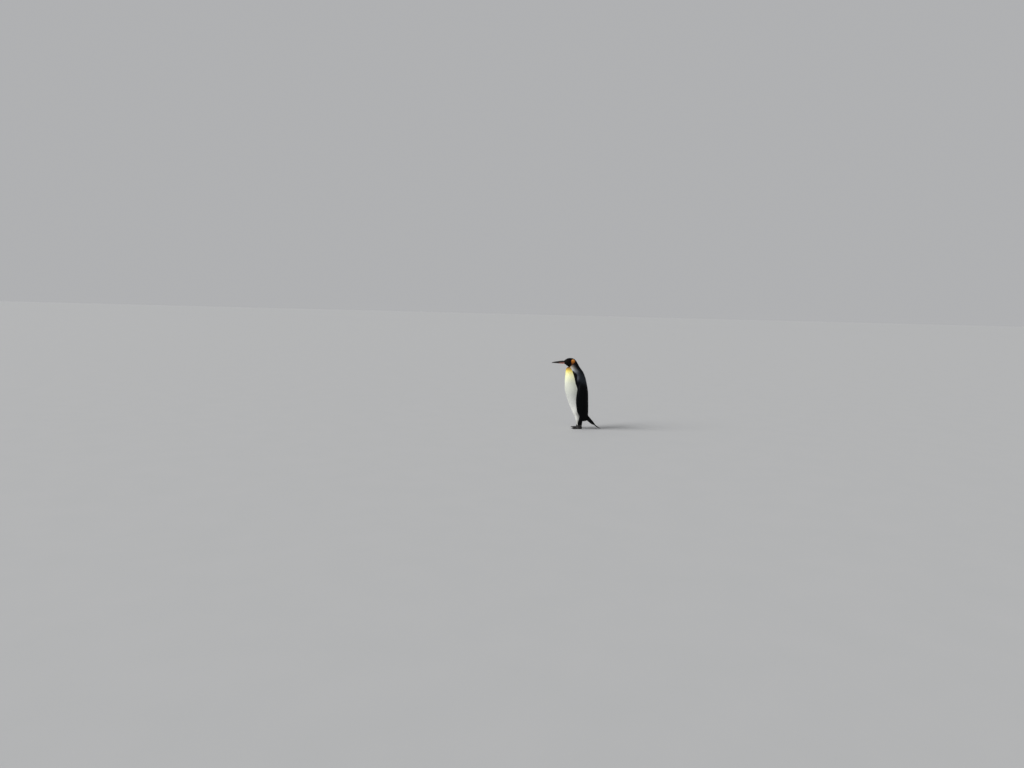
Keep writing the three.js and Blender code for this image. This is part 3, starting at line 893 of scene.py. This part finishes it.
quill_solids, quill_faces, quill_vanes, quill_maps = [], [], [], []
fans = []
for facing, quills_in_row in ((1, upper_quills), (-1, lower_quills)):
    fans += [(facing, 2 * (place + 0.5) / quills_in_row - 1) for place in range(quills_in_row)]
for number, (facing, fan) in enumerate(fans):
    length = tail_length - 0.001 - 0.026 * abs(fan) ** 1.7 - 0.010 * (facing < 0) - 0.004 * rng.random()
    points, faces = quill_solid(quill_points(fan, facing, length), tail_up * facing * quill_thick)
    quill_faces += [tuple(sum(map(len, quill_solids)) + corner for corner in face) for face in faces]
    quill_solids.append(points)
    share = np.tile(np.repeat(np.arange(quill_rows + 1) / quill_rows, 2 * quill_sides + 1), 2)
    edge = np.tile(np.arange(-quill_sides, quill_sides + 1) / quill_sides, 2 * quill_rows + 2)
    quill_vanes.append(np.stack([edge, share * 9, np.full(len(share), rng.random())], 1))
    quill_maps.append(np.stack([(number + 0.5 + 0.42 * edge) / len(fans), 0.02 + 0.96 * share], 1))
mesh = bpy.data.meshes.new("tail_feathers")
mesh.from_pydata(np.concatenate(quill_solids).tolist(), [], quill_faces)
quill_vanes = np.concatenate(quill_vanes)
worn = ease(quill_vanes[:, 1] / 9, 0.45, 1.0) + 0.6 * ease(np.abs(quill_vanes[:, 0]), 0.5, 1.0)
tone = 0.8 + 0.5 * quill_vanes[:, 2] + 1.3 * worn
colour_points(mesh, "plumage", colour("0b0a0a")[None] * tone[:, None])
vectors_on_points(mesh, "vane", quill_vanes)
map_points(mesh, np.concatenate(quill_maps))
mesh.materials.append(plumage)
quills = add_piece("tail_feathers", mesh)
face_outwards(quills)
bpy.ops.object.shade_smooth_by_angle(angle=math.radians(40))
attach(quills, "root")

# ---- Bill ----
# The bill is horn over bone: a long upper half, slightly hooked, that closes over a slimmer lower half.
# A groove runs along each side from the slit of the nostril. Each side of the lower half carries
# a smooth rosy plate, let into the horn from its root to near its middle.
bill_length = bill_high.y - bill_low.y
bill_inside = 0.10  # share of its length that runs on into the head, unseen
upper_rise, hook_drop = 0.0215, 0.0087
plate_ends = 0.435  # share of the bill's length that a plate reaches

# Horn's finish: streaks that run along it, with the fine scratches of use.
fibres, given, result = new_group(
    "horn_fibres",
    [
        ("Dark", "Color", (0.02, 0.02, 0.02, 1)),
        ("Pale", "Color", (0.1, 0.1, 0.1, 1)),
        ("Fineness", "Float", 500.0),
    ],
    [("Colour", "Color"), ("Height", "Float"), ("Roughness", "Float")],
)
spot = node(fibres, "ShaderNodeTexCoord").outputs["Object"]
drawn = node(fibres, "ShaderNodeMapping", {"Vector": spot, "Scale": (1.0, 0.08, 1.0)}).outputs[0]
streak = noise(fibres, drawn, given["Fineness"], 4.0)
amount = maths(fibres, "MULTIPLY", streak, noise(fibres, spot, 60.0, 3.0))
amount = maths(fibres, "MULTIPLY_ADD", amount, 2.6, -0.28)
rough = maths(fibres, "MULTIPLY_ADD", amount, 0.25, 0.30)
# Inputs 6 and 7 of the Mix node are its two colours, and its output 2 is the mixed one.
mixed = node(fibres, "ShaderNodeMix", {0: amount, 6: given["Dark"], 7: given["Pale"]}, data_type="RGBA")
feed(fibres, result, {"Colour": mixed.outputs[2], "Height": streak, "Roughness": rough})


def new_horn(name, dark, pale, fineness, shine):
    """A material of horn, streaked from the dark colour to the pale one."""
    material, tree, shader = new_material(name)
    inputs = {"Dark": (*colour(dark), 1), "Pale": (*colour(pale), 1), "Fineness": fineness}
    grain = node(tree, "ShaderNodeGroup", inputs, node_tree=fibres).outputs
    feed(tree, shader, {"Base Color": grain["Colour"], "Roughness": grain["Roughness"]})
    feed(tree, shader, {"Normal": bumped(tree, grain["Height"], 0.3, 0.0003)})
    feed(tree, shader, shine)
    return material


horn = new_horn("bill_horn", "0d0c0b", "2c2621", 700.0, {"Specular IOR Level": 0.3})
smooth = {"Specular IOR Level": 0.4, "Coat Weight": 0.15}
plate_finish = new_horn("bill_plate", "b06a62", "d89c90", 300.0, smooth)
claw_horn = new_horn("claw_horn", "0b0a09", "302c28", 900.0, {"Specular IOR Level": 0.35})


def swell(t):
    """The bill is fullest a little way out from the feathers."""
    return 0.0024 * float(ease(t, 0.03, 0.20)) * (1 - t)


# The bill's outlines, as heights or half widths by the share t of its length.
def bill_top(t):
    rounded = 0.0026 * max(0, (t - 0.94) / 0.06) ** 2
    return bill_high.z + swell(t) - 0.0004 - upper_rise * t - hook_drop * np.clip(t, 0, 1) ** 8 - rounded


def bill_parting(t):
    return bill_high.z - 0.0195 - 0.005 * t - 0.010 * np.clip(t, 0, 1) ** 3.6


def lower_depth(t):
    return 0.0190 * (1 - np.clip(t, 0, 1) ** 1.4) + swell(t) + 0.0005


def bill_half(t):
    return 0.0140 - 0.0112 * t - 0.0014 * np.clip(t, 0, 1) ** 6


def lofted(name, rings, finish):
    """A closed solid through rings of points, which all run the same way round."""
    rings = np.array(rings)
    count_rings, sides, _ = rings.shape
    last = (count_rings - 1) * sides
    faces = []
    for first in range(0, last, sides):
        for i in range(sides):
            a, b = first + i, first + (i + 1) % sides
            faces.append((a, b, b + sides, a + sides))
    faces += [tuple(range(sides))[::-1], tuple(range(last, last + sides))]
    mesh = bpy.data.meshes.new(name)
    mesh.from_pydata(rings.reshape(-1, 3).tolist(), [], faces)
    mesh.materials.append(finish)
    piece = add_piece(name, mesh)
    face_outwards(piece)
    bpy.ops.object.shade_smooth_by_angle(angle=math.radians(50))
    return piece


def flat_side(half, y, height, bulge, steps):
    """The rest of a ring, back across the side that faces the other half of the bill."""
    across = np.linspace(-1, 1, steps + 1)[1:-1]
    return [(half * 0.93 * share, y, height + bulge * (1 - share * share)) for share in across]


def upper_ring(t):
    half, base = bill_half(t) + 0.15 * swell(t), bill_parting(t)
    rise = bill_top(t) - base
    y = bill_high.y - bill_length * t
    ring = []
    for step in range(41):
        angle = math.pi * step / 40
        above_edge = min(angle, math.pi - angle)
        grooved = bell(above_edge, 0.62, 0.10) * ease(t, 0.02, 0.10) * ease(t, 0.80, 0.60)
        slit = bell(above_edge, 0.66, 0.07) * bell(t, 0.17, 0.035)
        narrow = 1 - 0.22 * math.sin(angle) ** 3
        scale = 1 - 0.075 * grooved - 0.10 * slit
        x = half * math.cos(angle) * narrow * scale
        ring.append((x, y, base + rise * math.sin(angle) ** 0.92 * scale))
    return ring + flat_side(half, y, base, 0.0006, 12)


def lower_ring(t):
    half, top = bill_half(t) - 0.0002, bill_parting(t) - 0.0002
    drop = lower_depth(t)
    y = bill_high.y - bill_length * min(t, 0.985)
    ring = []
    for step in range(33):
        angle = math.pi * step / 32
        x = half * math.cos(angle) * (1 - 0.12 * math.sin(angle))
        ring.append((x, y, top - drop * math.sin(angle) ** 0.85))
    return ring + flat_side(half, y, top, -0.0004, 10)


steps = np.arange(65) / 64  # closer together at the tip
shares_down = ((1 + bill_inside) * (1 - (1 - steps) ** 1.5) - bill_inside).tolist()
for half, ring_at in (("upper", upper_ring), ("lower", lower_ring)):
    piece = lofted(half + "_bill", [ring_at(t) for t in shares_down], horn)
    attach(piece, "root")
    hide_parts("bill_" + half)


def plate_ring(step, steps, sign):
    """A section of the plate: out over its face and back inside the horn."""
    t = -0.05 + (plate_ends + 0.05) * step / steps
    taper = math.sqrt(max(0, 1 - max(0, t / plate_ends) ** 2.6))
    upper_angle = 0.62 - 0.42 * taper
    lower_angle = 0.62 + 0.72 * taper
    half, top, drop = bill_half(t), bill_parting(t), lower_depth(t)
    y = bill_high.y - bill_length * t
    ring = []
    for proud, order in ((0.055, range(13)), (-0.09, range(12, -1, -1))):
        for place in order:
            angle = upper_angle + (lower_angle - upper_angle) * place / 12
            edge = math.sqrt(max(0, 1 - (place / 6 - 1) ** 2))
            out = 1 + proud * (0.25 + 0.75 * edge) * (0.4 + 0.6 * taper)
            x = half * math.cos(angle) * (1 - 0.12 * math.sin(angle)) * out
            ring.append((sign * x, y, top - drop * math.sin(angle) ** 0.85 * (1 + (out - 1) * 0.5)))
    return ring


for side, sign in (("left", 1), ("right", -1)):
    plate = lofted("plate_" + side, [plate_ring(step, 30, sign) for step in range(31)], plate_finish)
    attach(plate, "root")
    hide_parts("bill_plate_" + side)

# ---- Claws ----
# Every toe ends in a stout curved claw of black horn, ridged on top and worn blunt at the point.
claw_steps, claw_sides = 14, 20
for side, sign in (("left", 1), ("right", -1)):
    for toe in ("inner", "middle", "outer", "hallux"):
        low, high = (np.array(corner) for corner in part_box(f"claw_{toe}_{side}"))
        outwards = {"inner": -1, "middle": 0, "outer": 1, "hallux": -1}[toe] * sign
        radius = high[2] * 0.371
        half = (high[0] - low[0]) / 2
        middle = (low[0] + high[0]) / 2
        root_x = middle - outwards * (half - radius * 0.76)
        base = np.array([root_x, high[1] - radius * 0.28, high[2] * 0.63])
        tip = np.array([middle + outwards * (half - 0.0006), low[1] + 0.0004, low[2] + 0.0006])
        ahead = unit(((tip - base) * (1, 1, 0))[None])[0]
        beside = np.cross(ahead, (0, 0, 1))
        rings = []
        for step in range(claw_steps + 1):
            share = 1 - (1 - step / claw_steps) ** 1.4
            centre = base + (tip - base) * (share, share, share**1.9)
            size = radius * (1.04 * (1 - share**2.1) ** 0.62 + 0.10)
            ring = []
            for place in range(claw_sides):
                angle = 2 * math.pi * place / claw_sides
                ridge = 1 + 0.10 * bell(angle, math.pi / 2, 0.35)
                wide, tall = 0.80 * math.cos(angle), math.sin(angle) * ridge
                tall *= 0.78 if tall < 0 else 1.0
                ring.append(centre + beside * wide * size + (0, 0, tall * size))
            rings.append(ring)
        rings = np.maximum(rings, (-9, -9, 0.0003))
        claw = lofted(f"claw_{toe}_{side}_horn", rings, claw_horn)
        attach(claw, "root")
        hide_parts(f"claw_{toe}_{side}")

# ---- Eyes ----
# Each eye is a glossy ball, set in the lids. The brown iris rings a black pupil under a clear front.
eye_finish, tree, shader = new_material("eye")
stops = [(0.0, "020202"), (0.29, "020202"), (0.33, "1e1008")]
stops += [(0.47, "2c180b"), (0.53, "0c0704"), (0.6, "060404")]
iris = ramp_of(tree, attribute(tree, "gaze"), *((position, colour(code)) for position, code in stops))
feed(tree, shader, {"Base Color": iris, "Roughness": 0.05, "Specular IOR Level": 0.18})
cornea_height = 0.0004
for side, eye in eyes.items():
    bpy.ops.object.select_all(action="DESELECT")
    bpy.ops.mesh.primitive_uv_sphere_add(segments=48, ring_count=32, radius=eye["radius"])
    ball = bpy.context.object
    ball.name = "eyeball_" + side
    points = places_of(ball.data)
    points[:, 2] += cornea_height * ease(points[:, 2] / eye["radius"], 0.80, 1.0)
    put(ball.data, points)
    angle = np.arccos(np.clip(points[:, 2] / np.linalg.norm(points, axis=1), -1, 1)) / math.pi * 2
    vectors_on_points(ball.data, "gaze", np.stack([angle] * 3, 1))
    turn = Vector(eye["looks"]).to_track_quat("Z", "Y").to_matrix().to_4x4()
    ball.data.transform(Matrix.Translation(Vector(eye["centre"])) @ turn)
    bpy.ops.object.shade_smooth()
    ball.data.materials.append(eye_finish)
    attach(ball, "root")
    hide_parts("eye_" + side)

# ---- Stage, light and camera ----
bpy.ops.object.select_all(action="DESELECT")
bpy.ops.mesh.primitive_plane_add(size=400)
floor = bpy.context.object
floor.name = "floor"
floor_finish, tree, shader = new_material("floor")
spot = node(tree, "ShaderNodeTexCoord").outputs["Object"]
cloudy = noise(tree, spot, 3.0, 6.0)
greys = ramp_of(tree, cloudy, (0.0, (0.475, 0.48, 0.48)), (1.0, (0.50, 0.50, 0.50)))
feed(tree, shader, {"Base Color": greys, "Roughness": 0.9})
floor.data.materials.append(floor_finish)

scene = bpy.context.scene
scene.view_settings.view_transform = "Standard"
world = bpy.data.worlds.new("studio")
world.use_nodes = True
tree = world.node_tree
feed(tree, tree.nodes["Background"], {"Color": (0.94, 0.95, 0.97, 1), "Strength": 0.46})
scene.world = world

# A broad even light, as from a bright overcast sky, high in front of the bird and on the camera's side.
light = bpy.data.lights.new("key", "SUN")
light.energy = 2.75
light.angle = math.radians(35)
lamp = bpy.data.objects.new("key", light)
scene.collection.objects.link(lamp)
lamp.rotation_euler = Vector((-0.33, 0.83, -0.56)).to_track_quat("-Z", "Y").to_euler()

camera = bpy.data.objects.new("camera", bpy.data.cameras.new("camera"))
scene.collection.objects.link(camera)
scene.camera = camera
turn, dip, roll = math.radians(4.9), math.radians(5.595), math.radians(1.4)
level = Vector((-math.cos(turn), -math.sin(turn), 0))
up = Vector((0, 0, 1))
right = level.cross(up)
forward = level * math.cos(dip) - up * math.sin(dip)
above = level * math.sin(dip) + up * math.cos(dip)
camera_right = right * math.cos(roll) + above * math.sin(roll)
camera_up = above * math.cos(roll) - right * math.sin(roll)
stands_at = (9.21, 0.019, 1.414)
rows = [[camera_right[i], camera_up[i], -forward[i], stands_at[i]] for i in range(3)]
camera.matrix_world = Matrix(rows + [[0, 0, 0, 1]])
camera.data.sensor_width = 36
camera.data.lens = 27.04
camera.data.clip_end = 500
